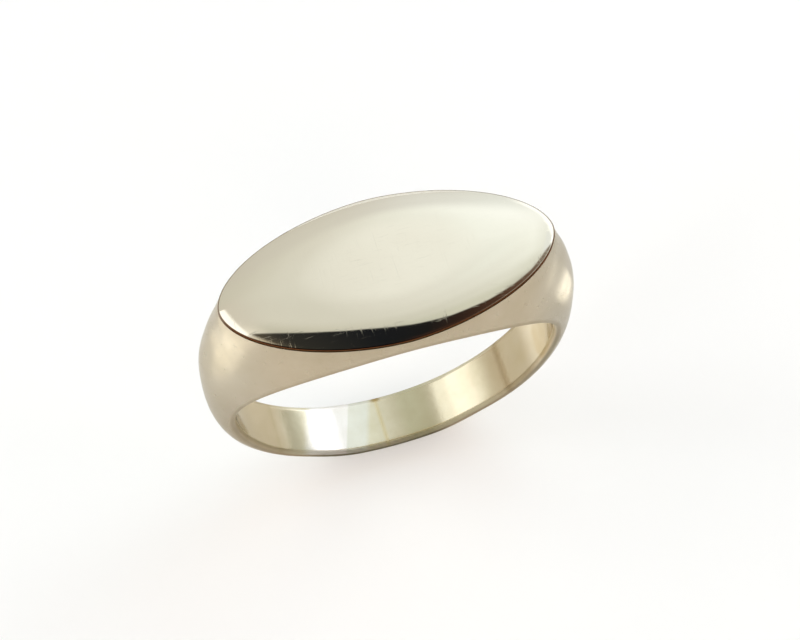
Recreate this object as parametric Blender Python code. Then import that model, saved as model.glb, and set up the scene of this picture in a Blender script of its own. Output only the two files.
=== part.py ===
"""Plain signet ring, standing on its shank.

A forged head with two tapering shoulders carries a slightly domed oval plate, soldered on a flat seat. The lower hoop is
in two halves, soldered to the shoulders and to each other at the base. The finger bore runs along Y, the long axis of
the oval along X, and the ring stands on a small flat filed on the bottom of the hoop, at Z = 0.
"""
import bpy
import bmesh
from math import atan2, cos, degrees, hypot, pi, radians, sin

MM = 0.001

# ---- driving dimensions, in millimetres and degrees -----------------------------------------------------------------
BORE_R = 9.0                # finger bore
BASE_DROP = 10.35           # from the bore's axis down to the flat that the ring stands on

TABLE_HALF_L = 8.76         # the oval's half length, half width and the exponent of its outline (2 is an ellipse)
TABLE_HALF_W = 4.14
TABLE_POWER = 1.82
SEAT_Z = 9.80               # flat seat on the head, above the bore's axis
PLATE_EDGE = 0.09           # straight edge of the plate, and the small round above it
PLATE_EDGE_ROUND = 0.035
DOME_H = 0.60               # crown of the plate above its edge
DOME_FLAT = 0.30            # share of the oval that is truly flat
DOME_POWER = 3.4            # how late the crown rolls off towards the edge

FILM = 0.12                 # solder seams in the hoop
TABLE_FILM = 0.06           # solder film under the plate
FIT_GAP = 0.02              # clearance between neighbouring solids
FILM_INSET = 0.015          # how far the solder lies below the metal round it

SEAM_SHOULDER = 130.5       # the hoop's seams, in degrees from the middle of the table, positive towards +X
SEAM_BASE = 183.0

EDGE_ROUND = 0.18           # rounding of the bore's two rims
EDGE_LAND = 0.22            # straight side wall above the bore before the section curves over

# half width of the ring at the bore, against the angle from the middle of the table
HALF_WIDTH = [(0, 4.33), (15, 4.24), (30, 3.92), (45, 3.39), (60, 2.74), (75, 2.12), (90, 1.70), (105, 1.58),
              (120, 1.56), (135, 1.52), (150, 1.46), (180, 1.42)]
# outer radius over the shoulders and round the hoop, which is filed in long facets and is not quite round
OUTER_R = [(46, 12.66), (50, 12.32), (56, 11.84), (62, 11.45), (75, 10.70), (90, 10.27), (115, 10.15), (138, 10.45), (158, 10.90), (180, 10.68),
           (202, 10.70), (222, 10.08), (245, 10.02), (270, 10.27), (285, 10.70), (298, 11.45), (304, 11.84),
           (310, 12.32), (314, 12.66)]
# section exponents: a gothic arch at the tips of the table, a soft D round the hoop
SPREAD_HEAD, SPREAD_HOOP = 1.82, 2.70
RISE_HEAD, RISE_TIP, RISE_HOOP = 1.40, 1.06, 2.70
HOOP_FROM = 135             # the hoop's section is reached here

WALL_STEPS = 9              # facets up each side wall
HEAD_ROWS = 36              # rows along the seat
ARC_STEP = 4.0              # degrees between rows elsewhere
OVAL_SEGMENTS = 96
DOME_RINGS = 9

TIP_ANGLE = degrees(atan2(TABLE_HALF_L, SEAT_Z))
TIP_RADIUS = hypot(TABLE_HALF_L, SEAT_Z)


# ---- smooth curves through the dimensions above ---------------------------------------------------------------------
def smooth_through(points, x):
    """Value at x of a smooth curve through (x, value) points, with no overshoot of its slopes."""
    n = len(points)
    slopes = []
    for i in range(n):
        a, b = points[max(i - 1, 0)], points[min(i + 1, n - 1)]
        slopes.append((b[1] - a[1]) / (b[0] - a[0]))
    for i in range(n - 1):
        (x0, y0), (x1, y1) = points[i], points[i + 1]
        if x <= x1 or i == n - 2:
            h = x1 - x0
            t = (x - x0) / h
            return ((2 * t**3 - 3 * t**2 + 1) * y0 + (t**3 - 2 * t**2 + t) * h * slopes[i]
                    + (3 * t**2 - 2 * t**3) * y1 + (t**3 - t**2) * h * slopes[i + 1])


def half_width(angle):
    """Half width of the ring at the bore. The curve is mirrored at the table and at the base."""
    a = abs((angle + 180) % 360 - 180)
    points = [(-15, HALF_WIDTH[1][1])] + HALF_WIDTH + [(210, HALF_WIDTH[-2][1])]
    return smooth_through(points, a)


def outer_radius(angle):
    points = [(TIP_ANGLE, TIP_RADIUS)] + OUTER_R + [(360 - TIP_ANGLE, TIP_RADIUS)]
    return smooth_through(points, angle % 360)


def ease(x):
    x = min(max(x, 0.0), 1.0)
    return x * x * (3 - 2 * x)


def exponents(angle):
    a = abs((angle + 180) % 360 - 180)
    u = ease((a - TIP_ANGLE) / (HOOP_FROM - TIP_ANGLE))
    spread = SPREAD_HEAD + (SPREAD_HOOP - SPREAD_HEAD) * u
    if a < TIP_ANGLE:
        rise = RISE_HEAD + (RISE_TIP - RISE_HEAD) * ease(a / TIP_ANGLE)
    else:
        rise = RISE_TIP + (RISE_HOOP - RISE_TIP) * u
    return spread, rise


def section(angle, seat_half=0.0, inset=0.0):
    """Closed section of the ring at one angle, as (y, radius) points. seat_half is the seat's half width there."""
    w = half_width(angle) - inset
    bore = BORE_R + inset
    foot = BORE_R + EDGE_LAND
    spread, rise = exponents(angle)
    if seat_half > 0.0 or abs((angle + 180) % 360 - 180) < TIP_ANGLE:
        top = SEAT_Z / cos(radians(angle))
        share = max(1.0 - (seat_half / w) ** spread, 1e-9) ** (1.0 / rise)
        arch = (top - foot) / share
        end = pi / 2 if seat_half == 0.0 else (pi / 2 - atan2((seat_half / w) ** (spread / 2), (
            1.0 - (seat_half / w) ** spread) ** 0.5))
    else:
        arch = outer_radius(angle) - inset - foot
        end = pi / 2
    r = EDGE_ROUND
    side = [(w - r, bore), (w - 0.62 * r, bore + 0.08 * r), (w - 0.29 * r, bore + 0.29 * r), (w, bore + r)]
    for k in range(WALL_STEPS + 1):
        s = end * k / WALL_STEPS
        y = w * max(cos(s), 0.0) ** (2 / spread) if k < WALL_STEPS else seat_half
        side.append((y, foot + arch * sin(s) ** (2 / rise)))
    front = [(-y, rad) for y, rad in side]
    return front + side[::-1] + [(0.0, bore)]


def loft(name, rows, inset=0.0):
    """Solid through ring sections. Each row is (angle, seat half width). The bore's axis is the object's Y axis."""
    bm = bmesh.new()
    rings = []
    for angle, seat_half in rows:
        a = radians(angle)
        rings.append([bm.verts.new((rad * sin(a) * MM, y * MM, rad * cos(a) * MM))
                      for y, rad in section(angle, seat_half, inset)])
    count = len(rings[0])
    for first, second in zip(rings, rings[1:]):
        for j in range(count):
            k = (j + 1) % count
            bm.faces.new((first[j], first[k], second[k], second[j]))
    bm.faces.new(rings[0][::-1])
    bm.faces.new(rings[-1])
    # beyond the table's tips the two rims of the seat meet in one ridge line
    bmesh.ops.remove_doubles(bm, verts=bm.verts, dist=1e-7)
    bmesh.ops.recalc_face_normals(bm, faces=bm.faces)
    mesh = bpy.data.meshes.new(name)
    bm.to_mesh(mesh)
    bm.free()
    return bpy.data.objects.new(name, mesh)


def oval_point(turn, grow=0.0):
    """Point on the table's outline, moved out along the outline's normal by grow."""
    def on_curve(t):
        c, s = cos(t), sin(t)
        return (TABLE_HALF_L * (1 if c > 0 else -1) * abs(c) ** (2 / TABLE_POWER),
                TABLE_HALF_W * (1 if s > 0 else -1) * abs(s) ** (2 / TABLE_POWER))
    x, y = on_curve(turn)
    if grow:
        nx = abs(x / TABLE_HALF_L) ** (TABLE_POWER - 1) / TABLE_HALF_L * (1 if x > 0 else -1)
        ny = abs(y / TABLE_HALF_W) ** (TABLE_POWER - 1) / TABLE_HALF_W * (1 if y > 0 else -1)
        size = hypot(nx, ny)
        x, y = x + grow * nx / size, y + grow * ny / size
    return x, y


def stacked_oval(name, levels):
    """Solid grown from an oval disc: each level is (z, grow, scale), extruded from the one before."""
    bm = bmesh.new()
    bmesh.ops.create_circle(bm, cap_ends=True, segments=OVAL_SEGMENTS, radius=1.0)
    bm.verts.ensure_lookup_table()
    turns = [atan2(v.co.y, v.co.x) for v in bm.verts]

    def place(verts, level):
        z, grow, scale = level
        for v, turn in zip(verts, turns):
            x, y = oval_point(turn, grow)
            v.co = (x * scale * MM, y * scale * MM, z * MM)

    loop = list(bm.verts)
    place(loop, levels[0])
    face = bm.faces[:][0]
    for level in levels[1:]:
        # leave the disc below in place as the solid's underside, and lift a copy of it
        new = bmesh.ops.extrude_face_region(bm, geom=[face], use_keep_orig=(level is levels[1]))
        raised = [g for g in new["geom"] if isinstance(g, bmesh.types.BMFace)][0]
        by_old = {}
        for e in (g for v in raised.verts for g in v.link_edges):
            a, b = e.verts
            if a in loop and b not in loop:
                by_old[a] = b
            elif b in loop and a not in loop:
                by_old[b] = a
        loop = [by_old[v] for v in loop]
        place(loop, level)
        if face.is_valid and face is not raised and level is not levels[1]:
            bm.faces.remove(face)
        face = raised
    bmesh.ops.recalc_face_normals(bm, faces=bm.faces)
    mesh = bpy.data.meshes.new(name)
    bm.to_mesh(mesh)
    bm.free()
    return bpy.data.objects.new(name, mesh)


def arc_rows(start, stop):
    steps = max(1, round((stop - start) / ARC_STEP))
    return [(start + (stop - start) * k / steps, 0.0) for k in range(steps + 1)]


# ---- start from an empty scene ---------------------------------------------------------------------------------------
for obj in list(bpy.data.objects):
    bpy.data.objects.remove(obj, do_unlink=True)

ring = bpy.data.collections.new("signet_ring")
cutters = bpy.data.collections.new("cutters")
for group in (ring, cutters):
    bpy.context.scene.collection.children.link(group)

root = bpy.data.objects.new("ring_origin", None)
root.empty_display_size = 5 * MM
ring.objects.link(root)


def metal(name, colour, roughness):
    material = bpy.data.materials.new(name)
    material.use_nodes = True
    shader = material.node_tree.nodes["Principled BSDF"]
    shader.inputs["Base Color"].default_value = (*colour, 1.0)
    shader.inputs["Metallic"].default_value = 1.0
    shader.inputs["Roughness"].default_value = roughness
    material.diffuse_color = (*colour, 1.0)
    return material


def add_part(obj, z, material):
    ring.objects.link(obj)
    obj.parent = root
    obj.location = (0.0, 0.0, z * MM)
    obj.data.materials.append(material)
    obj.data.shade_smooth()
    obj.data.set_sharp_from_angle(angle=radians(30))
    return obj


# ---- head: both shoulders and the flat seat in one forged piece ------------------------------------------------------
half_seam = degrees((FILM / 2) / (BORE_R + 0.7))
seam_gap = degrees(1.25 * FIT_GAP / (BORE_R + 0.7))

rows = []
for k in range(HEAD_ROWS + 1):
    t = -pi / 2 + pi * k / HEAD_ROWS
    x = TABLE_HALF_L * (1 if t > 0 else -1) * abs(sin(t)) ** (2 / TABLE_POWER)
    y = 0.0 if k in (0, HEAD_ROWS) else TABLE_HALF_W * cos(t) ** (2 / TABLE_POWER)
    rows.append((degrees(atan2(x, SEAT_Z)), y))
end = SEAM_SHOULDER - half_seam - seam_gap
rows = arc_rows(-end, -TIP_ANGLE)[:-1] + rows + arc_rows(TIP_ANGLE, end)[1:]
add_part(loft("signet_head", rows), BASE_DROP, metal("satin_silver", (0.66, 0.62, 0.55), 0.32))

# ---- the hoop's two halves and its three solder seams ------------------------------------------------------------------
hoop_metal = metal("shank_silver", (0.68, 0.66, 0.57), 0.22)
solder_metal = metal("hard_solder", (0.62, 0.57, 0.42), 0.35)

shank_right = add_part(loft("shank_right", arc_rows(SEAM_SHOULDER + half_seam + seam_gap,
                                                    SEAM_BASE - half_seam - seam_gap)), BASE_DROP, hoop_metal)
shank_left = add_part(loft("shank_left", arc_rows(SEAM_BASE + half_seam + seam_gap,
                                                  360 - SEAM_SHOULDER - half_seam - seam_gap)), BASE_DROP, hoop_metal)
seams = {}
for name, at in (("solder_right", SEAM_SHOULDER), ("base_solder", SEAM_BASE), ("solder_left", 360 - SEAM_SHOULDER)):
    seams[name] = add_part(loft(name, [(at - half_seam, 0.0), (at + half_seam, 0.0)], FILM_INSET), BASE_DROP,
                           solder_metal)

# the flat that the ring stands on, filed across the bottom of the hoop
bpy.ops.mesh.primitive_cube_add(size=1.0, location=(0.0, 0.0, -2.0 * MM))
file_cut = bpy.context.active_object
file_cut.name = "base_file_cut"
file_cut.data.transform(((14 * MM, 0, 0, 0), (0, 8 * MM, 0, 0), (0, 0, 4 * MM, 0), (0, 0, 0, 1)))
for group in list(file_cut.users_collection):
    group.objects.unlink(file_cut)
cutters.objects.link(file_cut)
file_cut.hide_render = True
file_cut.display_type = "WIRE"
for obj in (shank_right, shank_left, seams["base_solder"]):
    cut = obj.modifiers.new("base_flat", "BOOLEAN")
    cut.operation = "DIFFERENCE"
    cut.solver = "EXACT"
    cut.object = file_cut

# ---- table: the domed oval plate on its solder film --------------------------------------------------------------------
film_z = SEAT_Z + FIT_GAP
plate_z = film_z + TABLE_FILM + FIT_GAP
add_part(stacked_oval("table_solder", [(0.0, -FIT_GAP, 1.0), (TABLE_FILM, -FIT_GAP, 1.0)]), BASE_DROP + film_z,
         metal("table_solder", (0.30, 0.26, 0.20), 0.40))

rim_z = PLATE_EDGE + PLATE_EDGE_ROUND
levels = [(0.0, -0.02, 1.0), (0.02, 0.0, 1.0), (PLATE_EDGE, 0.0, 1.0), (rim_z - 0.010, -0.010, 1.0)]
for k in range(DOME_RINGS + 1):
    u = 1.0 - k / DOME_RINGS
    u = u ** 0.8
    levels.append((rim_z + DOME_H * (1.0 - u ** DOME_POWER), -PLATE_EDGE_ROUND, DOME_FLAT + (1.0 - DOME_FLAT) * u))
add_part(stacked_oval("table_plate", levels), BASE_DROP + plate_z, metal("polished_silver", (0.86, 0.85, 0.78), 0.08))
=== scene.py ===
"""Looks of the signet ring: fine meshes in place of the faceted solids, silver materials, a pale glossy table top and
soft light. Lengths below are in millimetres unless a name says otherwise."""
import bpy
import bmesh
import numpy as np
from math import atan2, cos, degrees, hypot, pi, radians, sin
from mathutils import Matrix, Vector


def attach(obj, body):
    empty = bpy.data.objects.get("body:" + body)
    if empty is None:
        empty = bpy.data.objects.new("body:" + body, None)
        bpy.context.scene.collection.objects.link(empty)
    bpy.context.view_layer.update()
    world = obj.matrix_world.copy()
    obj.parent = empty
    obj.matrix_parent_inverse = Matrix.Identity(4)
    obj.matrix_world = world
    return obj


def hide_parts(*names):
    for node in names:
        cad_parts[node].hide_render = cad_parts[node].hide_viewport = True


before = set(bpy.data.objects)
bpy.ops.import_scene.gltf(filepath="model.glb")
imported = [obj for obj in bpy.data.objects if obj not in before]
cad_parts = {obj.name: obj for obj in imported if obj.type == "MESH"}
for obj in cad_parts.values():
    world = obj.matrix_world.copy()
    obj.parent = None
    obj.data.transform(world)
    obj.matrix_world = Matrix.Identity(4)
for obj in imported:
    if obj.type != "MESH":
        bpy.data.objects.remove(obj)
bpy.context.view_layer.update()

MM = 0.001

# ---- the ring's own dimensions, as in the design -----------------------------------------------------------------------
BORE_R = 9.0
BASE_DROP = 10.35
TABLE_HALF_L, TABLE_HALF_W, TABLE_POWER = 8.76, 4.14, 1.82
SEAT_Z = 9.80
FIT_GAP = 0.02
TABLE_FILM = 0.06
PLATE_EDGE, PLATE_EDGE_ROUND = 0.09, 0.035
DOME_H, DOME_FLAT, DOME_POWER = 0.60, 0.30, 3.4
FILM = 0.12
SEAM_SHOULDER, SEAM_BASE = 130.5, 183.0
EDGE_ROUND, EDGE_LAND = 0.18, 0.22
HALF_WIDTH = [(0, 4.33), (15, 4.24), (30, 3.92), (45, 3.39), (60, 2.74), (75, 2.12), (90, 1.70), (105, 1.58),
              (120, 1.56), (135, 1.52), (150, 1.46), (180, 1.42)]
OUTER_R = [(46, 12.66), (50, 12.32), (56, 11.84), (62, 11.45), (75, 10.70), (90, 10.27), (115, 10.15), (138, 10.45),
           (158, 10.90), (180, 10.68), (202, 10.70), (222, 10.08), (245, 10.02), (270, 10.27), (285, 10.70),
           (298, 11.45), (304, 11.84), (310, 12.32), (314, 12.66)]
SPREAD_HEAD, SPREAD_HOOP = 1.82, 2.70
RISE_HEAD, RISE_TIP, RISE_HOOP = 1.40, 1.06, 2.70
HOOP_FROM = 135
TIP_ANGLE = degrees(atan2(TABLE_HALF_L, SEAT_Z))
TIP_RADIUS = hypot(TABLE_HALF_L, SEAT_Z)


def spline(points, start_slope=0.0, end_slope=0.0):
    """Twice-smooth curve through (x, y) points with the given end slopes, as a function of an array."""
    x = np.array([p[0] for p in points], float)
    y = np.array([p[1] for p in points], float)
    h = np.diff(x)
    n = len(x)
    a = np.zeros((n, n))
    b = np.zeros(n)
    a[0, 0] = a[-1, -1] = 1.0
    b[0], b[-1] = start_slope, end_slope
    for i in range(1, n - 1):
        a[i, i - 1], a[i, i], a[i, i + 1] = h[i], 2 * (h[i - 1] + h[i]), h[i - 1]
        b[i] = 3 * (h[i] * (y[i] - y[i - 1]) / h[i - 1] + h[i - 1] * (y[i + 1] - y[i]) / h[i])
    m = np.linalg.solve(a, b)

    def value(q):
        q = np.asarray(q, float)
        i = np.clip(np.searchsorted(x, q) - 1, 0, n - 2)
        t = (q - x[i]) / h[i]
        return ((2 * t**3 - 3 * t**2 + 1) * y[i] + (t**3 - 2 * t**2 + t) * h[i] * m[i]
                + (3 * t**2 - 2 * t**3) * y[i + 1] + (t**3 - t**2) * h[i] * m[i + 1])
    return value


_half = spline(HALF_WIDTH)
_outer = spline([(TIP_ANGLE, TIP_RADIUS)] + OUTER_R + [(360 - TIP_ANGLE, TIP_RADIUS)], -0.114, 0.114)


def half_width(angle):
    return float(_half(abs((angle + 180) % 360 - 180)))


def ease(x):
    x = min(max(x, 0.0), 1.0)
    return x * x * (3 - 2 * x)


def exponents(angle):
    a = abs((angle + 180) % 360 - 180)
    u = ease((a - TIP_ANGLE) / (HOOP_FROM - TIP_ANGLE))
    spread = SPREAD_HEAD + (SPREAD_HOOP - SPREAD_HEAD) * u
    if a < TIP_ANGLE:
        rise = RISE_HEAD + (RISE_TIP - RISE_HEAD) * ease(a / TIP_ANGLE)
    else:
        rise = RISE_TIP + (RISE_HOOP - RISE_TIP) * u
    return spread, rise


WALL = 44          # points up each side wall
BORE_COLS = 14     # points across the bore
BORE_SOFT, HOOP_SOFT = 0.36, 0.30   # how far the worn rounding of the bore's edges reaches across the bore
HOOP_ROUND, HOOP_WIDER, HOOP_LEAN = 1.70, 0.09, 0.09   # the worn hoop: rounder section, a little wider, a little forward
BASE_BULGE = 0.075   # the front edge stands out a little more at the base


def section(angle, seat_half=None, inset=0.0):
    """Closed section at one angle as (y, radius) rows. seat_half is the seat's half width, None past the table's tips."""
    worn = ease((abs((angle + 180) % 360 - 180) - 105) / 45)
    base = ease((abs((angle + 180) % 360 - 180) - 144) / 22)
    w = half_width(angle) - inset + HOOP_WIDER * worn + BASE_BULGE * base
    bore = BORE_R + inset
    foot = BORE_R + EDGE_LAND
    spread, rise = exponents(angle)
    spread, rise = spread + (HOOP_ROUND - spread) * worn, rise + (HOOP_ROUND - rise) * worn
    if seat_half is not None:
        share = (seat_half / w) ** spread
        arch = (SEAT_Z / cos(radians(angle)) - foot) / max(1.0 - share, 1e-9) ** (1.0 / rise)
        end = pi / 2 - atan2(share ** 0.5, max(1.0 - share, 0.0) ** 0.5)
        top = seat_half
    else:
        arch = float(_outer(angle % 360)) - inset - foot
        end, top = pi / 2, 0.0
    r, soft = EDGE_ROUND, min(BORE_SOFT + (HOOP_SOFT - BORE_SOFT) * worn, 0.3 * w)
    side = []
    for k in range(11):
        q = pi / 2 * k / 10
        side.append((w - soft + soft * sin(q), bore + r - r * cos(q)))
    for k in range(1, WALL + 1):
        s = end * k / WALL
        y = w * max(cos(s), 0.0) ** (2 / spread) if k < WALL else top
        side.append((y, foot + arch * sin(s) ** (2 / rise)))
    front = [(-y, rad) for y, rad in side]
    across = [(y, bore) for y in np.linspace(w - soft, -(w - soft), BORE_COLS + 1)[1:-1]]
    rows = np.array(front + side[::-1] + across)
    rows[:, 0] -= HOOP_LEAN * worn + BASE_BULGE * base
    return rows


def to_object(name, verts, faces, material, node):
    mesh = bpy.data.meshes.new(name)
    mesh.from_pydata([tuple(v) for v in verts], [], faces)
    bm = bmesh.new()
    bm.from_mesh(mesh)
    bmesh.ops.remove_doubles(bm, verts=bm.verts, dist=2e-7)
    bmesh.ops.recalc_face_normals(bm, faces=bm.faces)
    bm.to_mesh(mesh)
    bm.free()
    mesh.materials.append(material)
    mesh.shade_smooth()
    mesh.set_sharp_from_angle(angle=radians(38))
    obj = bpy.data.objects.new(name, mesh)
    bpy.context.scene.collection.objects.link(obj)
    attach(obj, "root")
    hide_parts(node)
    return obj


def soft_floor(z):
    """Flat at the base with a worn, rounded edge: a smooth maximum of z and the base."""
    k = 0.10
    d = z + BASE_DROP
    return -BASE_DROP + 0.5 * (d + np.sqrt(d * d + k * k)) * 1.0


def loft(name, rows, material, node, inset=0.0, cut_base=False):
    verts, count = [], 0
    for angle, seat in rows:
        sec = section(angle, seat, inset)
        a = radians(angle)
        count = len(sec)
        x, z = sec[:, 1] * sin(a), sec[:, 1] * cos(a)
        if cut_base:
            low = z < -BASE_DROP + 0.6
            z = np.where(low, np.maximum(soft_floor(z), -BASE_DROP), z)
        verts.append(np.stack([x, sec[:, 0], z + BASE_DROP], -1) * MM)
    verts = np.concatenate(verts)
    faces = []
    for i in range(len(rows) - 1):
        for j in range(count):
            k = (j + 1) % count
            faces.append((i * count + j, i * count + k, (i + 1) * count + k, (i + 1) * count + j))
    last = (len(rows) - 1) * count
    faces.append(tuple(range(count))[::-1])
    faces.append(tuple(range(last, last + count)))
    return to_object(name, verts, faces, material, node)


def arc(start, stop, step):
    n = max(1, round((stop - start) / step))
    return [(start + (stop - start) * k / n, None) for k in range(n + 1)]


def oval(turn, grow=0.0):
    c, s = np.cos(turn), np.sin(turn)
    x = TABLE_HALF_L * np.sign(c) * abs(c) ** (2 / TABLE_POWER)
    y = TABLE_HALF_W * np.sign(s) * abs(s) ** (2 / TABLE_POWER)
    nx = abs(x / TABLE_HALF_L) ** (TABLE_POWER - 1) / TABLE_HALF_L * np.sign(x)
    ny = abs(y / TABLE_HALF_W) ** (TABLE_POWER - 1) / TABLE_HALF_W * np.sign(y)
    size = np.hypot(nx, ny)
    return x + grow * nx / size, y + grow * ny / size


def oval_stack(name, levels, base_z, material, node, segments=384):
    """Closed solid from oval rings (z, grow, scale), bottom to top."""
    turn = (np.arange(segments) + 0.5) * 2 * pi / segments
    rings = []
    for z, grow, scale in levels:
        x, y = oval(turn, grow)
        rings.append(np.stack([x * scale, y * scale, np.full(segments, base_z + z)], -1) * MM)
    verts = np.concatenate(rings)
    faces = []
    for i in range(len(levels) - 1):
        for j in range(segments):
            k = (j + 1) % segments
            faces.append((i * segments + j, i * segments + k, (i + 1) * segments + k, (i + 1) * segments + j))
    last = (len(levels) - 1) * segments
    faces.append(tuple(range(segments))[::-1])
    faces.append(tuple(range(last, last + segments)))
    return to_object(name, verts, faces, material, node)


# ---- materials -----------------------------------------------------------------------------------------------------------
class Tree:
    """Short hand for building a node tree."""

    def __init__(self, name):
        self.material = bpy.data.materials.new(name)
        self.material.use_nodes = True
        self.nodes = self.material.node_tree.nodes
        self.links = self.material.node_tree.links
        self.shader = self.nodes["Principled BSDF"]

    def add(self, kind, **values):
        node = self.nodes.new(kind)
        for key, value in values.items():
            if hasattr(node, key):
                setattr(node, key, value)
            else:
                node.inputs[key].default_value = value
        return node

    def link(self, a, b):
        self.links.new(a, b)

    def coords(self, scale=(1, 1, 1), rotation=(0, 0, 0)):
        geo = self.add("ShaderNodeNewGeometry")
        mapping = self.add("ShaderNodeMapping")
        mapping.inputs["Scale"].default_value = scale
        mapping.inputs["Rotation"].default_value = rotation
        self.link(geo.outputs["Position"], mapping.inputs["Vector"])
        return mapping.outputs["Vector"]

    def noise(self, vector, scale, detail=4.0, rough=0.5, distortion=0.0):
        n = self.add("ShaderNodeTexNoise")
        n.inputs["Scale"].default_value = scale
        n.inputs["Detail"].default_value = detail
        n.inputs["Roughness"].default_value = rough
        n.inputs["Distortion"].default_value = distortion
        self.link(vector, n.inputs["Vector"])
        return n.outputs["Fac"]

    def ramp(self, fac, stops):
        r = self.add("ShaderNodeValToRGB")
        while len(r.color_ramp.elements) < len(stops):
            r.color_ramp.elements.new(0.5)
        for e, (pos, col) in zip(r.color_ramp.elements, stops):
            e.position = pos
            e.color = (*col, 1.0) if len(col) == 3 else col
        self.link(fac, r.inputs["Fac"])
        return r.outputs["Color"]

    def remap(self, fac, lo, hi, out_lo, out_hi):
        m = self.add("ShaderNodeMapRange")
        for key, v in (("From Min", lo), ("From Max", hi), ("To Min", out_lo), ("To Max", out_hi)):
            m.inputs[key].default_value = v
        self.link(fac, m.inputs["Value"])
        return m.outputs["Result"]

    def math(self, op, a, b):
        m = self.add("ShaderNodeMath", operation=op)
        for socket, v in zip(m.inputs, (a, b)):
            if isinstance(v, (int, float)):
                socket.default_value = v
            else:
                self.link(v, socket)
        return m.outputs[0]

    def mix(self, fac, a, b):
        m = self.add("ShaderNodeMix", data_type="RGBA")
        if isinstance(fac, (int, float)):
            m.inputs["Factor"].default_value = fac
        else:
            self.link(fac, m.inputs["Factor"])
        for socket, v in ((m.inputs[6], a), (m.inputs[7], b)):
            if isinstance(v, tuple):
                socket.default_value = (*v, 1.0)
            else:
                self.link(v, socket)
        return m.outputs[2]

    def value(self, v):
        n = self.add("ShaderNodeValue")
        n.outputs[0].default_value = v
        return n.outputs[0]

    def smooth(self, fac, lo, hi):
        """0 at lo, 1 at hi, eased; lo may be above hi."""
        m = self.add("ShaderNodeMapRange", interpolation_type="SMOOTHSTEP")
        a, b, flip = (lo, hi, False) if lo < hi else (hi, lo, True)
        for key, v in (("From Min", a), ("From Max", b), ("To Min", 1.0 if flip else 0.0), ("To Max", 0.0 if flip else 1.0)):
            m.inputs[key].default_value = v
        self.link(fac, m.inputs["Value"])
        return m.outputs["Result"]

    def multiply(self, a, b):
        m = self.add("ShaderNodeMix", data_type="RGBA", blend_type="MULTIPLY")
        m.inputs["Factor"].default_value = 1.0
        self.link(a, m.inputs[6])
        self.link(b, m.inputs[7])
        return m.outputs[2]

    def bump(self, height, strength, distance, normal=None):
        b = self.add("ShaderNodeBump")
        b.inputs["Strength"].default_value = strength
        b.inputs["Distance"].default_value = distance
        self.link(height, b.inputs["Height"])
        if normal is not None:
            self.link(normal, b.inputs["Normal"])
        return b.outputs["Normal"]


def silver(name, tint, shade, rough, rough_spread, scratch=0.0, ripple=0.0, grain=0.0, stain=None):
    """Silver with cloudy tone, uneven polish, fine scratches in two directions, and hand-work ripple. stain = (from
    height, to height, colour in front, colour behind) darkens the metal below a height."""
    t = Tree(name)
    p = t.shader
    p.inputs["Metallic"].default_value = 1.0
    p.inputs["IOR"].default_value = 1.5
    p.inputs["Specular Tint"].default_value = (0.45, 0.35, 0.28, 1.0)
    base = t.coords()
    cloud = t.noise(base, 350.0, 3.0, 0.55)
    colour = t.mix(t.remap(cloud, 0.35, 0.65, 0.0, 1.0), tint, shade)
    if stain:
        split = t.add("ShaderNodeSeparateXYZ")
        t.link(t.add("ShaderNodeNewGeometry").outputs["Position"], split.inputs[0])
        # colour in front and colour behind for the darkening; on the plate's edge the front colour is a painted
        # reflection
        film = t.mix(t.smooth(split.outputs[1], -1.5 * MM, 1.5 * MM), stain[2], stain[3])
        colour = t.mix(t.smooth(split.outputs[2], stain[0] * MM, stain[1] * MM), colour, film)
    t.link(colour, p.inputs["Base Color"])
    finish(t, base, t.value(rough), rough_spread, scratch, ripple, grain)
    return t.material


def finish(t, base, rough, rough_spread, scratch, ripple, grain):
    """Roughness and relief shared by the silvers."""
    p = t.shader
    speck = t.noise(base, 2400.0, 4.0, 0.6)
    hair_a = t.noise(t.coords((900, 14000, 900), (0, 0, radians(24))), 1.0, 2.0, 0.6, 0.3)
    hair_b = t.noise(t.coords((11000, 700, 900), (0, 0, radians(-31))), 1.0, 2.0, 0.6, 0.3)
    hair = t.math("MAXIMUM", t.remap(hair_a, 0.62, 0.74, 0.0, 1.0), t.remap(hair_b, 0.63, 0.75, 0.0, 1.0))
    uneven = t.math("ADD", rough, t.remap(speck, 0.3, 0.7, -rough_spread, rough_spread))
    t.link(t.math("ADD", uneven, t.math("MULTIPLY", hair, scratch)), p.inputs["Roughness"])
    normal = None
    if ripple:
        normal = t.bump(t.noise(base, 420.0, 1.5, 0.4), ripple, 0.0001, normal)
    if grain:
        normal = t.bump(speck, grain, 0.00002, normal)
    if scratch:
        normal = t.bump(t.math("SUBTRACT", 1.0, hair), min(1.0, scratch), 0.000004, normal)
    if normal is not None:
        t.link(normal, p.inputs["Normal"])


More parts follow.
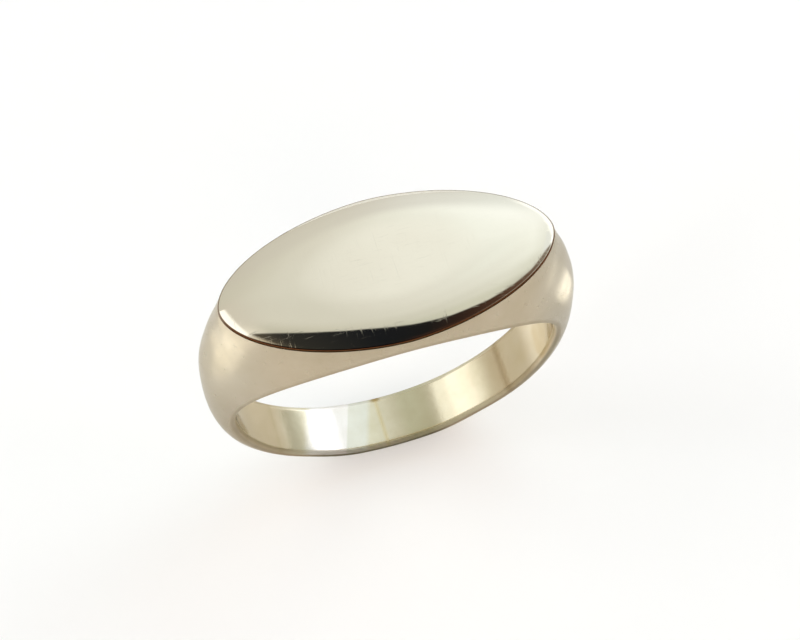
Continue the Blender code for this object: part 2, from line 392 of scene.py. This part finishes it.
def worked_silver(name, edge_tint=(1.0, 1.0, 1.0)):
    """The ring's body metal, zoned by where it is on the ring: satin outside with painted light in it (a painted warm
    reflection in the middle, painted shade on the right shoulder and lower down, and a painted dark reflection of the
    contact shadow on the outer edges near the base), a smoother bore worn by rubbing, with painted shade and painted
    highlights in it, and heat stain fading away from each solder seam.
    edge_tint is the metal's colour at a glancing view."""
    t = Tree(name)
    p = t.shader
    p.inputs["Metallic"].default_value = 1.0
    p.inputs["IOR"].default_value = 1.5
    p.inputs["Specular Tint"].default_value = (*edge_tint, 1.0)
    base = t.coords()
    split = t.add("ShaderNodeSeparateXYZ")
    t.link(t.add("ShaderNodeNewGeometry").outputs["Position"], split.inputs[0])
    x, y = split.outputs[0], split.outputs[1]
    z = t.math("SUBTRACT", split.outputs[2], BASE_DROP * MM)
    radius = t.math("SQRT", t.math("ADD", t.math("MULTIPLY", x, x), t.math("MULTIPLY", z, z)), 0.0)
    outside = t.smooth(radius, 9.03 * MM, 9.20 * MM)
    low = t.smooth(z, -5.5 * MM, -8.0 * MM)
    # painted shade: the outer edges near the base are painted dark, a painted reflection of the contact shadow on the
    # table
    foot = t.math("MULTIPLY", t.smooth(z, -6.9 * MM, -8.9 * MM), t.smooth(x, 3.9 * MM, 1.9 * MM))
    side = t.smooth(t.math("ABSOLUTE", x, 0.0), 6.0 * MM, 9.0 * MM)
    cloud = t.remap(t.noise(base, 350.0, 3.0, 0.55), 0.3, 0.7, 0.0, 1.0)
    patch = t.remap(t.noise(base, 900.0, 3.0, 0.6), 0.3, 0.7, 0.0, 1.0)
    # painted reflection: the satin outside is painted warmer and darker in the middle than at the shoulders, standing
    # in for the warm, dim light from in front
    satin = t.mix(side, OUTER_MIDDLE_PAINTED_REFLECTION, OUTER_SIDE)
    # painted shade: the right shoulder is painted a little darker
    satin = t.multiply(satin, t.mix(t.smooth(x, 6.0 * MM, 9.5 * MM), (1.0, 1.0, 1.0), RIGHT_SIDE_PAINTED_SHADE))
    # painted shade: the outside is painted darker towards the bottom
    satin = t.multiply(satin, t.mix(t.smooth(z, 7.5 * MM, -1.0 * MM), (1.0, 1.0, 1.0), (0.74, 0.71, 0.66)))
    satin = t.mix(foot, satin, OUTER_LOW_PAINTED_SHADE)
    # the bore, with painted shade and painted reflections: painted darker towards its sides than low down, with a
    # painted highlight, a bright strip set askew to the left of the base seam inside a wider paler painted band
    askew = t.math("SUBTRACT", x, t.math("MULTIPLY", y, 0.307))
    bore = t.mix(low, BORE_SIDE, BORE_LOW)
    pale = t.math("MULTIPLY", t.smooth(askew, -1.05 * MM, -1.45 * MM), t.smooth(askew, -5.2 * MM, -4.3 * MM))
    bore = t.mix(t.math("MULTIPLY", pale, low), bore, (0.84, 0.865, 0.80))
    painted_highlight_strip = t.math("MULTIPLY", t.smooth(askew, -2.45 * MM, -2.60 * MM), t.smooth(askew, -5.3 * MM, -4.5 * MM))
    bore = t.mix(t.math("MULTIPLY", painted_highlight_strip, low), bore, (1.0, 1.0, 1.0))
    # painted reflection: an olive-toned zone just right of the base seam
    olive = t.math("MULTIPLY", t.smooth(x, 0.3 * MM, 1.3 * MM), t.smooth(x, 3.0 * MM, 2.2 * MM))
    bore = t.mix(t.math("MULTIPLY", olive, low), bore, (0.70, 0.695, 0.52))
    # painted light: the right-hand end of the bore is painted lighter
    bore = t.mix(t.smooth(x, 7.9 * MM, 8.7 * MM), bore, BORE_END_PAINTED_LIGHT)
    colour = t.mix(outside, bore, satin)
    colour = t.multiply(colour, t.mix(cloud, (1.0, 1.0, 1.0), (0.92, 0.91, 0.88)))
    colour = t.multiply(colour, t.mix(patch, (1.0, 1.0, 1.0), (0.955, 0.945, 0.915)))
    blotch = t.math("MULTIPLY", t.smooth(t.noise(base, 620.0, 1.0, 0.5), 0.45, 0.75), t.smooth(x, 7.3 * MM, 8.4 * MM))
    colour = t.multiply(colour, t.mix(t.math("MULTIPLY", blotch, t.math("SUBTRACT", 1.0, outside)), (1.0, 1.0, 1.0),
                                      (0.90, 0.85, 0.74)))
    angle = t.math("ARCTAN2", x, z)
    for at, reach, stain in ((SEAM_SHOULDER, 0.45, (0.84, 0.80, 0.74)), (SEAM_BASE - 360.0, 0.22, (1.02, 0.97, 0.84)),
                             (-SEAM_SHOULDER, 0.40, (0.97, 0.96, 0.93))):
        off = t.math("ABSOLUTE", t.math("SUBTRACT", angle, radians(at)), 0.0)
        near = t.smooth(off, radians(degrees(reach / 9.3)), 0.0)
        colour = t.multiply(colour, t.mix(near, (1.0, 1.0, 1.0), stain))
        if at == SEAM_BASE - 360.0:
            nick = t.math("MULTIPLY", t.smooth(off, 0.045, 0.012), t.smooth(y, 1.05 * MM, 1.25 * MM))
            colour = t.multiply(colour, t.mix(nick, (1.0, 1.0, 1.0), (0.66, 0.55, 0.38)))
    t.link(colour, p.inputs["Base Color"])
    # worn edges of the bore are duller than the faces on both sides
    worn = t.math("MULTIPLY", t.smooth(radius, 9.001 * MM, 9.010 * MM), t.smooth(radius, 9.50 * MM, 9.25 * MM))
    rough = t.math("ADD", t.math("MULTIPLY", outside, OUTER_ROUGH - BORE_ROUGH), BORE_ROUGH)
    rough = t.math("ADD", rough, t.math("MULTIPLY", worn, 0.34))
    finish(t, base, rough, 0.03, 0.025, 0.12, 0.2)
    return t.material


# painted light in the outside colours: the middle colour is a painted warm reflection, the low colour is painted shade,
# a reflection of the contact shadow
OUTER_MIDDLE_PAINTED_REFLECTION, OUTER_SIDE, OUTER_LOW_PAINTED_SHADE = (0.572, 0.485, 0.358), (0.60, 0.54, 0.43), (0.125, 0.105, 0.05)
# painted shade: colour for the darker right shoulder
RIGHT_SIDE_PAINTED_SHADE = (0.90, 0.91, 0.93)
# painted light in the bore colours: the side colour is painted shade, the end colour the painted lighter right-hand end
BORE_SIDE, BORE_LOW, BORE_END_PAINTED_LIGHT = (0.535, 0.455, 0.31), (0.80, 0.78, 0.625), (0.86, 0.76, 0.575)
OUTER_ROUGH, BORE_ROUGH = 0.25, 0.15

# the plate's edge is darkened below the rim: behind to a grey tone, in front to a dark warm brown that is a painted
# reflection of the person in front of the ring
plate_silver = silver("plate_silver", (0.94, 0.93, 0.83), (0.925, 0.91, 0.81), 0.06, 0.015, scratch=0.16,
                      stain=(20.394, 20.378, (0.155, 0.068, 0.034), (0.46, 0.42, 0.35)))
body_silver = worked_silver("body_silver", (0.86, 0.84, 0.80))
hoop_silver = worked_silver("hoop_silver", (0.86, 0.84, 0.80))
seam_solder = worked_silver("seam_solder", (0.86, 0.84, 0.80))
crease_solder = silver("crease_solder", (0.22, 0.17, 0.12), (0.12, 0.10, 0.08), 0.45, 0.08, grain=0.3)

# ---- meshes ---------------------------------------------------------------------------------------------------------------
half_seam = degrees((FILM / 2) / (BORE_R + 0.7))
gap = degrees(0.003 / (BORE_R + 0.7))

rows = []
SEAT_ROWS = 220
for k in range(SEAT_ROWS + 1):
    t = -pi / 2 + pi * k / SEAT_ROWS
    x = TABLE_HALF_L * np.sign(t) * abs(sin(t)) ** (2 / TABLE_POWER)
    y = 0.0 if k in (0, SEAT_ROWS) else TABLE_HALF_W * cos(t) ** (2 / TABLE_POWER)
    rows.append((degrees(atan2(x, SEAT_Z)), y))
end = SEAM_SHOULDER - half_seam - gap
rows = arc(-end, -TIP_ANGLE, 0.8)[:-1] + rows + arc(TIP_ANGLE, end, 0.8)[1:]
loft("head_silver", rows, body_silver, "signet_head")
loft("hoop_right", arc(SEAM_SHOULDER + half_seam + gap, SEAM_BASE - half_seam - gap, 0.5), hoop_silver, "shank_right",
     cut_base=True)
loft("hoop_left", arc(SEAM_BASE + half_seam + gap, 360 - SEAM_SHOULDER - half_seam - gap, 0.5), hoop_silver,
     "shank_left", cut_base=True)
for name, node, at, cut, inset in (("seam_right", "solder_right", SEAM_SHOULDER, False, 0.003),
                                   ("seam_base", "base_solder", SEAM_BASE, True, 0.004),
                                   ("seam_left", "solder_left", 360 - SEAM_SHOULDER, False, 0.001)):
    loft(name, arc(at - half_seam, at + half_seam, 0.24), seam_solder, node, inset=inset, cut_base=cut)

film_z = BASE_DROP + SEAT_Z + FIT_GAP
plate_z = film_z + TABLE_FILM + FIT_GAP
oval_stack("crease_film", [(0.0, -0.035, 1.0), (TABLE_FILM, -0.035, 1.0)], film_z, crease_solder, "table_solder")
rim_z = PLATE_EDGE + PLATE_EDGE_ROUND
levels = [(0.0, -0.03, 1.0), (0.008, -0.012, 1.0), (0.03, 0.0, 1.0), (0.06, 0.0, 1.0), (PLATE_EDGE, 0.0, 1.0)]
for k in range(1, 5):
    q = pi / 2 * k / 5
    levels.append((PLATE_EDGE + PLATE_EDGE_ROUND * sin(q), -PLATE_EDGE_ROUND * (1 - cos(q)), 1.0))
DOME_RINGS = 90
for k in range(DOME_RINGS + 1):
    u = 1.0 - k / DOME_RINGS
    levels.append((rim_z + DOME_H * (1.0 - u ** DOME_POWER), -PLATE_EDGE_ROUND, DOME_FLAT + (1.0 - DOME_FLAT) * u))
for k in range(1, 12):
    levels.append((rim_z + DOME_H, -PLATE_EDGE_ROUND, DOME_FLAT * (1 - k / 12)))
oval_stack("table_silver", levels, plate_z, plate_silver, "table_plate")

# ---- table top, light and camera ---------------------------------------------------------------------------------------------
bpy.ops.mesh.primitive_grid_add(x_subdivisions=2, y_subdivisions=2, size=6.0, location=(0, 0, -0.00002))
floor = bpy.context.active_object
floor.name = "floor"
t = Tree("white_gloss_top")
t.shader.inputs["IOR"].default_value = 1.45
t.link(t.mix(t.noise(t.coords(), 25.0, 3.0, 0.5), (0.93, 0.92, 0.91), (0.925, 0.915, 0.905)), t.shader.inputs["Base Color"])
t.link(t.remap(t.noise(t.coords(), 60.0, 3.0, 0.5), 0.3, 0.7, 0.30, 0.38), t.shader.inputs["Roughness"])
floor.data.materials.append(t.material)

AZ, EL, ROLL = radians(-17.07), radians(63.99), radians(0.61)
FOCAL_PX, DIST, OX, OY = 1800.0, 1800.0 / 18.15, 0.65, 1.81
back = np.array([sin(AZ) * cos(EL), -cos(AZ) * cos(EL), sin(EL)])
right = np.array([cos(AZ), sin(AZ), 0.0])
up = np.cross(back, right)
r2 = cos(ROLL) * right + sin(ROLL) * up
u2 = -sin(ROLL) * right + cos(ROLL) * up
centre = back * DIST + r2 * OX + u2 * OY + np.array([0, 0, BASE_DROP])
cam_data = bpy.data.cameras.new("camera")
cam_data.sensor_width = 36.0
cam_data.lens = FOCAL_PX / 800.0 * 36.0
cam_data.clip_start, cam_data.clip_end = 0.001, 10.0
camera = bpy.data.objects.new("camera", cam_data)
rot = Matrix((Vector((r2[0], u2[0], back[0])), Vector((r2[1], u2[1], back[1])), Vector((r2[2], u2[2], back[2]))))
camera.matrix_world = Matrix.Translation(Vector(centre * MM)) @ rot.to_4x4()
bpy.context.scene.collection.objects.link(camera)
bpy.context.scene.camera = camera

scene = bpy.context.scene
scene.view_settings.view_transform = "Standard"
scene.view_settings.look = "None"

world = bpy.data.worlds.new("soft_room")
scene.world = world
world.use_nodes = True
wn, wl = world.node_tree.nodes, world.node_tree.links
wn.clear()


def wadd(kind, **values):
    node = wn.new(kind)
    for key, value in values.items():
        if hasattr(node, key):
            setattr(node, key, value)
        else:
            node.inputs[key].default_value = value
    return node


def wmath(op, a, b=0.0, c=0.0, clamp=False):
    m = wadd("ShaderNodeMath", operation=op)
    m.use_clamp = clamp
    for socket, v in zip(m.inputs, (a, b, c)):
        if isinstance(v, (int, float)):
            socket.default_value = v
        else:
            wl.new(v, socket)
    return m.outputs[0]


def wdot(vector, direction):
    d = wadd("ShaderNodeVectorMath", operation="DOT_PRODUCT")
    wl.new(vector, d.inputs[0])
    v = Vector(direction).normalized()
    d.inputs[1].default_value = v
    return d.outputs["Value"]


def wmap(value, lo, hi, out_lo=0.0, out_hi=1.0):
    m = wadd("ShaderNodeMapRange", interpolation_type="SMOOTHSTEP")
    if lo > hi:
        lo, hi, out_lo, out_hi = hi, lo, out_hi, out_lo
    for key, v in (("From Min", lo), ("From Max", hi), ("To Min", out_lo), ("To Max", out_hi)):
        m.inputs[key].default_value = v
    wl.new(value, m.inputs["Value"])
    return m.outputs["Result"]


def wmix(fac, a, b):
    m = wadd("ShaderNodeMix", data_type="RGBA")
    wl.new(fac, m.inputs["Factor"])
    for socket, v in ((m.inputs[6], a), (m.inputs[7], b)):
        if isinstance(v, tuple):
            socket.default_value = (*v, 1.0)
        else:
            wl.new(v, socket)
    return m.outputs[2]


def direction(az, el):
    """Azimuth from +Y towards +X, elevation above the horizon."""
    a, e = radians(az), radians(el)
    return (sin(a) * cos(e), cos(a) * cos(e), sin(e))


coord = wadd("ShaderNodeTexCoord").outputs["Generated"]
split = wadd("ShaderNodeSeparateXYZ")
wl.new(coord, split.inputs[0])
DX, DY, DZ = split.outputs[0], split.outputs[1], split.outputs[2]


def wramp(value, stops, scale=2.0):
    """Colour along one direction component (-1..1); colours above 1 are kept by scaling."""
    r = wadd("ShaderNodeValToRGB")
    while len(r.color_ramp.elements) < len(stops):
        r.color_ramp.elements.new(0.5)
    for e, (pos, col) in zip(r.color_ramp.elements, stops):
        e.position = 0.5 + pos / 2
        e.color = (*(c / scale for c in col), 1.0)
    wl.new(wmath("MULTIPLY_ADD", value, 0.5, 0.5), r.inputs["Fac"])
    return r.outputs["Color"]


def wscale(colour, k):
    m = wadd("ShaderNodeMix", data_type="RGBA", blend_type="MULTIPLY")
    m.clamp_result = False
    m.inputs["Factor"].default_value = 1.0
    wl.new(colour, m.inputs[6])
    m.inputs[7].default_value = (k, k, k, 1.0)
    return m.outputs[2]


# the room as the ring sees it: brightness across (x) at five depths from front (y < 0) to back (y > 0)
ROOM = [
    (-0.30, [(-0.90, (0.70, 0.64, 0.55)), (-0.45, (0.62, 0.52, 0.38)), (0.10, (0.57, 0.56, 0.47)), (0.35, (0.66, 0.65, 0.55)),
             (0.50, (0.65, 0.64, 0.55)), (0.64, (0.52, 0.50, 0.43)), (0.95, (0.50, 0.48, 0.42))]),
    (-0.10, [(-0.90, (0.90, 0.86, 0.80)), (-0.42, (0.80, 0.74, 0.64)), (-0.30, (0.58, 0.55, 0.46)), (-0.10, (0.63, 0.60, 0.51)),
             (0.15, (0.66, 0.64, 0.56)), (0.45, (0.78, 0.77, 0.70)), (0.58, (0.76, 0.76, 0.68)), (0.95, (0.60, 0.58, 0.52))]),
    (0.15, [(-0.95, (0.55, 0.50, 0.42)), (-0.40, (0.67, 0.62, 0.54)), (-0.20, (0.70, 0.67, 0.59)), (0.03, (0.70, 0.675, 0.60)),
            (0.16, (0.75, 0.73, 0.66)), (0.30, (0.82, 0.81, 0.75)), (0.55, (0.94, 0.95, 0.90)), (0.95, (0.70, 0.69, 0.62))]),
    (0.34, [(-0.95, (0.52, 0.46, 0.37)), (-0.40, (0.66, 0.61, 0.53)), (-0.20, (0.69, 0.66, 0.58)), (0.03, (0.705, 0.68, 0.605)),
            (0.13, (0.78, 0.755, 0.69)), (0.30, (0.90, 0.91, 0.86)), (0.55, (1.00, 1.01, 0.97)), (0.95, (0.62, 0.62, 0.56))]),
    (0.47, [(-0.95, (0.52, 0.46, 0.37)), (-0.40, (0.65, 0.60, 0.52)), (-0.20, (0.69, 0.66, 0.58)), (0.03, (0.73, 0.705, 0.63)),
            (0.13, (0.90, 0.88, 0.82)), (0.25, (0.96, 0.97, 0.93)), (0.55, (1.02, 1.03, 1.00)), (0.95, (0.64, 0.63, 0.57))]),
    (0.66, [(-0.95, (0.54, 0.51, 0.44)), (-0.40, (0.62, 0.585, 0.50)), (-0.10, (0.68, 0.65, 0.57)), (0.05, (0.75, 0.72, 0.65)),
            (0.15, (0.86, 0.85, 0.79)), (0.27, (1.00, 1.01, 0.98)), (0.45, (1.05, 1.06, 1.05)), (0.95, (0.90, 0.91, 0.88))]),
    (0.87, [(-0.95, (0.52, 0.49, 0.42)), (-0.30, (0.62, 0.58, 0.51)), (0.00, (0.67, 0.635, 0.57)), (0.15, (0.72, 0.695, 0.65)),
            (0.25, (0.78, 0.77, 0.74)), (0.40, (0.83, 0.84, 0.82)), (0.60, (0.87, 0.89, 0.88)), (0.95, (0.85, 0.86, 0.84))]),
]
sky = wramp(DX, ROOM[0][1])
for (y0, _), (y1, stops) in zip(ROOM, ROOM[1:]):
    sky = wmix(wmap(DY, y0, y1), sky, wramp(DX, stops))
sky = wscale(sky, 2.0)


def window(x0, x1, y0, y1, soft):
    """A soft-edged bright panel in the room, as a 0..1 mask over direction."""
    m = wmath("MULTIPLY", wmap(DX, x0 - soft, x0 + soft), wmap(DX, x1 - soft, x1 + soft, 1.0, 0.0))
    n = wmath("MULTIPLY", wmap(DY, y0 - soft, y0 + soft), wmap(DY, y1 - soft, y1 + soft, 1.0, 0.0))
    return wmath("MULTIPLY", m, n)


sky = wmix(window(-1.2, -0.455, -0.15, 0.47, 0.015), sky, (1.25, 1.20, 1.12))
sky = wmix(wmap(DX, -0.84, -0.90), sky, (0.86, 0.80, 0.70))
sky = wmix(window(-0.80, -0.60, 0.06, 0.75, 0.03), sky, (1.55, 1.45, 1.38))
sky = wmix(window(0.655, 0.715, 0.46, 0.80, 0.015), sky, (0.84, 0.85, 0.83))
sky = wmix(window(0.655, 0.715, 0.00, 0.31, 0.015), sky, (0.84, 0.85, 0.83))
tall = wmath("MULTIPLY", wmap(DX, 0.70, 0.73), wmap(DX, 0.92, 0.78))
tall = wmath("MULTIPLY", tall, wmath("MULTIPLY", wmap(DY, 0.07, 0.13), wmap(DY, 0.75, 0.69)))
sky = wmix(tall, sky, (2.40, 2.40, 2.52))
# a low strip of the same bright wall, seen only in the rim at the right-hand tip
height = wadd("ShaderNodeValToRGB")
STRIP = [(0.25, 0.675), (0.38, 0.640), (0.55, 0.545), (0.68, 0.425), (0.74, 0.370), (0.80, 0.300), (0.86, 0.240)]
while len(height.color_ramp.elements) < len(STRIP):
    height.color_ramp.elements.new(0.5)
for e, (py, pz) in zip(height.color_ramp.elements, STRIP):
    e.position = py
    e.color = (pz,) * 3 + (1.0,)
wl.new(DY, height.inputs["Fac"])
low_strip = wmap(wmath("SUBTRACT", height.outputs["Color"], DZ), -0.012, 0.012)
low_strip = wmath("MULTIPLY", low_strip, wmath("MULTIPLY", wmap(DX, 0.46, 0.56), wmap(DY, 0.20, 0.28)))
low_strip = wmath("MULTIPLY", low_strip, wmath("MULTIPLY", wmap(DZ, 0.05, 0.12), wmap(DX, 0.80, 0.74)))
sky = wmix(low_strip, sky, (1.22, 1.22, 1.22))
# a person standing in front of the ring: dark clothes, then warm hands and face towards the right and low down
edge = wadd("ShaderNodeValToRGB")
EDGE = [(-1.0, -0.11), (-0.40, -0.11), (-0.10, -0.12), (0.00, -0.15), (0.10, -0.26), (0.20, -0.34), (0.30, -0.41),
        (0.45, -0.40), (0.55, -0.31), (0.62, -0.20), (0.68, 0.03), (0.74, 0.16), (1.0, 0.20)]
while len(edge.color_ramp.elements) < len(EDGE):
    edge.color_ramp.elements.new(0.5)
for e, (px, py) in zip(edge.color_ramp.elements, EDGE):
    e.position = 0.5 + px / 2
    e.color = (0.5 + py / 2,) * 3 + (1.0,)
wl.new(wmath("MULTIPLY_ADD", DX, 0.5, 0.5), edge.inputs["Fac"])
limit = wmath("MULTIPLY_ADD", edge.outputs["Color"], 2.0, -1.0)
slant = wmath("MULTIPLY_ADD", DY, 0.22, wmath("ADD", DX, 0.029))
figure = wmath("MULTIPLY", wmap(wmath("SUBTRACT", limit, DY), -0.012, 0.03), wmap(slant, -0.47, -0.42))
figure = wmath("MULTIPLY", figure, wmap(DX, 0.88, 0.76))
figure = wmath("MULTIPLY", figure, wmap(DZ, 0.22, 0.42))
skin = wramp(DX, [(-0.42, (0.085, 0.070, 0.050)), (-0.30, (0.030, 0.028, 0.024)), (0.00, (0.010, 0.011, 0.013)),
                  (0.22, (0.012, 0.011, 0.011)), (0.36, (0.032, 0.017, 0.012)), (0.50, (0.075, 0.036, 0.022)),
                  (0.62, (0.13, 0.075, 0.05)), (0.74, (0.30, 0.26, 0.21))])
skin = wscale(skin, 2.0)
skin = wmix(wmap(wmath("MULTIPLY_ADD", DX, -0.30, DY), -0.70, -0.90), skin, (0.21, 0.075, 0.032))
sky = wmix(figure, sky, skin)
hidden = wadd("ShaderNodeLightPath").outputs["Is Camera Ray"]
colour = wmix(hidden, sky, (0.915, 0.910, 0.880))
bg = wadd("ShaderNodeBackground")
wl.new(colour, bg.inputs["Color"])
bg.inputs["Strength"].default_value = 1.0
out = wadd("ShaderNodeOutputWorld")
wl.new(bg.outputs[0], out.inputs["Surface"])


def lamp(kind, name, place, aim, strength, colour, **values):
    """A lamp for the table top only; the polished metal sees the room instead."""
    data = bpy.data.lights.new(name, kind)
    data.energy = strength
    data.color = colour
    for key, value in values.items():
        setattr(data, key, value)
    obj = bpy.data.objects.new(name, data)
    scene.collection.objects.link(obj)
    obj.location = place
    obj.rotation_euler = (Vector(aim) - Vector(place)).to_track_quat("-Z", "Y").to_euler()
    obj.visible_glossy = False
    obj.visible_camera = False
    return obj


world.cycles_visibility.diffuse = False
def soft_sun(name, azimuth, elevation, spread, strength, colour):
    return lamp("SUN", name, direction(azimuth, elevation), (0, 0, 0), strength, colour, angle=radians(spread))


soft_sun("back_window", 0, 20, 40, 0.68, (0.88, 1.0, 0.96))
soft_sun("back_left", -50, 30, 60, 0.50, (1.04, 1.0, 1.03))
soft_sun("back_right", 50, 30, 60, 0.80, (0.66, 1.0, 1.16))
soft_sun("left_side", -90, 25, 60, 1.13, (0.95, 1.0, 1.04))
soft_sun("right_side", 90, 25, 60, 0.68, (1.16, 0.97, 1.0))
soft_sun("front_side", 180, 30, 60, 0.72, (1.15, 1.0, 0.84))
fill = lamp("SUN", "fill", (0, 0, 0.6), (0, 0, 0), 1.50, (1.02, 1.0, 0.97), angle=radians(20))
fill.data.use_shadow = False
fill.data.cycles.cast_shadow = False


def card(name, x, y, diameter, radiance, colour, tilt):
    """A round glowing card just above the table, facing up and leaning away from the ring: it shows in the shoulders
    but lights neither the table nor the bore."""
    area = pi * (diameter / 2) ** 2
    z = 0.0005 + diameter / 2 * abs(sin(tilt))
    c = lamp("AREA", name, (x, y, z), (x + sin(tilt), y, z + cos(tilt)), radiance * pi * area, colour, shape="DISK",
             size=diameter)
    c.visible_glossy, c.visible_diffuse = True, False


card("left_card", -0.036, -0.004, 0.034, 0.50, (1.0, 0.97, 0.88), radians(-15))
card("left_card_small", -0.028, -0.006, 0.013, 0.60, (1.0, 0.97, 0.88), radians(-15))
card("right_card", 0.0210, -0.001, 0.007, 1.90, (1.0, 1.0, 0.95), radians(25))
